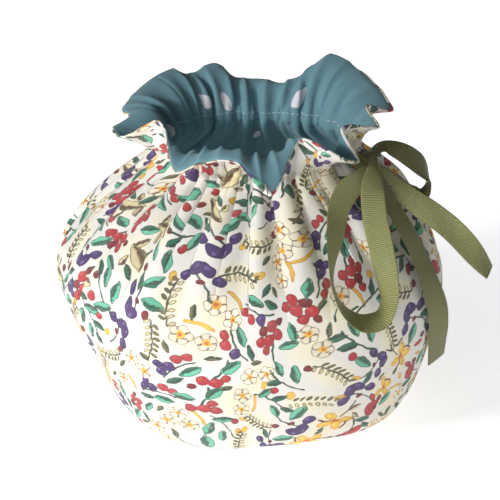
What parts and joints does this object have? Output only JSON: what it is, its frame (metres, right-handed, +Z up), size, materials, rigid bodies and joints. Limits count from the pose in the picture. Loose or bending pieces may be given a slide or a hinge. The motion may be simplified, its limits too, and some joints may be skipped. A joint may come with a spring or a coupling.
{
  "type": "tea cosy",
  "caption": "Gathered cloth tea cosy with a printed outside, a plain lining, a ruffled drawstring neck, side slots for spout and handle, and a tied ribbon bow.",
  "frame": {"origin": "middle of the bounding box's footprint, on the surface that the hem rests on", "axes": "+Z up through the drawn-in neck; +X toward the handle slot; the bow's side, which is the front, faces -Y"},
  "size_m": [0.2247, 0.2007, 0.1782],
  "materials": {
    "printed_cotton": "printed cotton over thin wadding",
    "lining_cotton": "plain woven cotton",
    "grosgrain_ribbon": "ribbed grosgrain ribbon"
  },
  "bodies": {
    "root": {"outer_front": "printed_cotton", "outer_back": "printed_cotton", "outer_handle_side": "printed_cotton", "outer_spout_side": "printed_cotton", "lining_front": "lining_cotton", "lining_back": "lining_cotton", "lining_handle_side": "lining_cotton", "lining_spout_side": "lining_cotton", "ribbon_bow": "grosgrain_ribbon"}
  },
  "joints": []
}
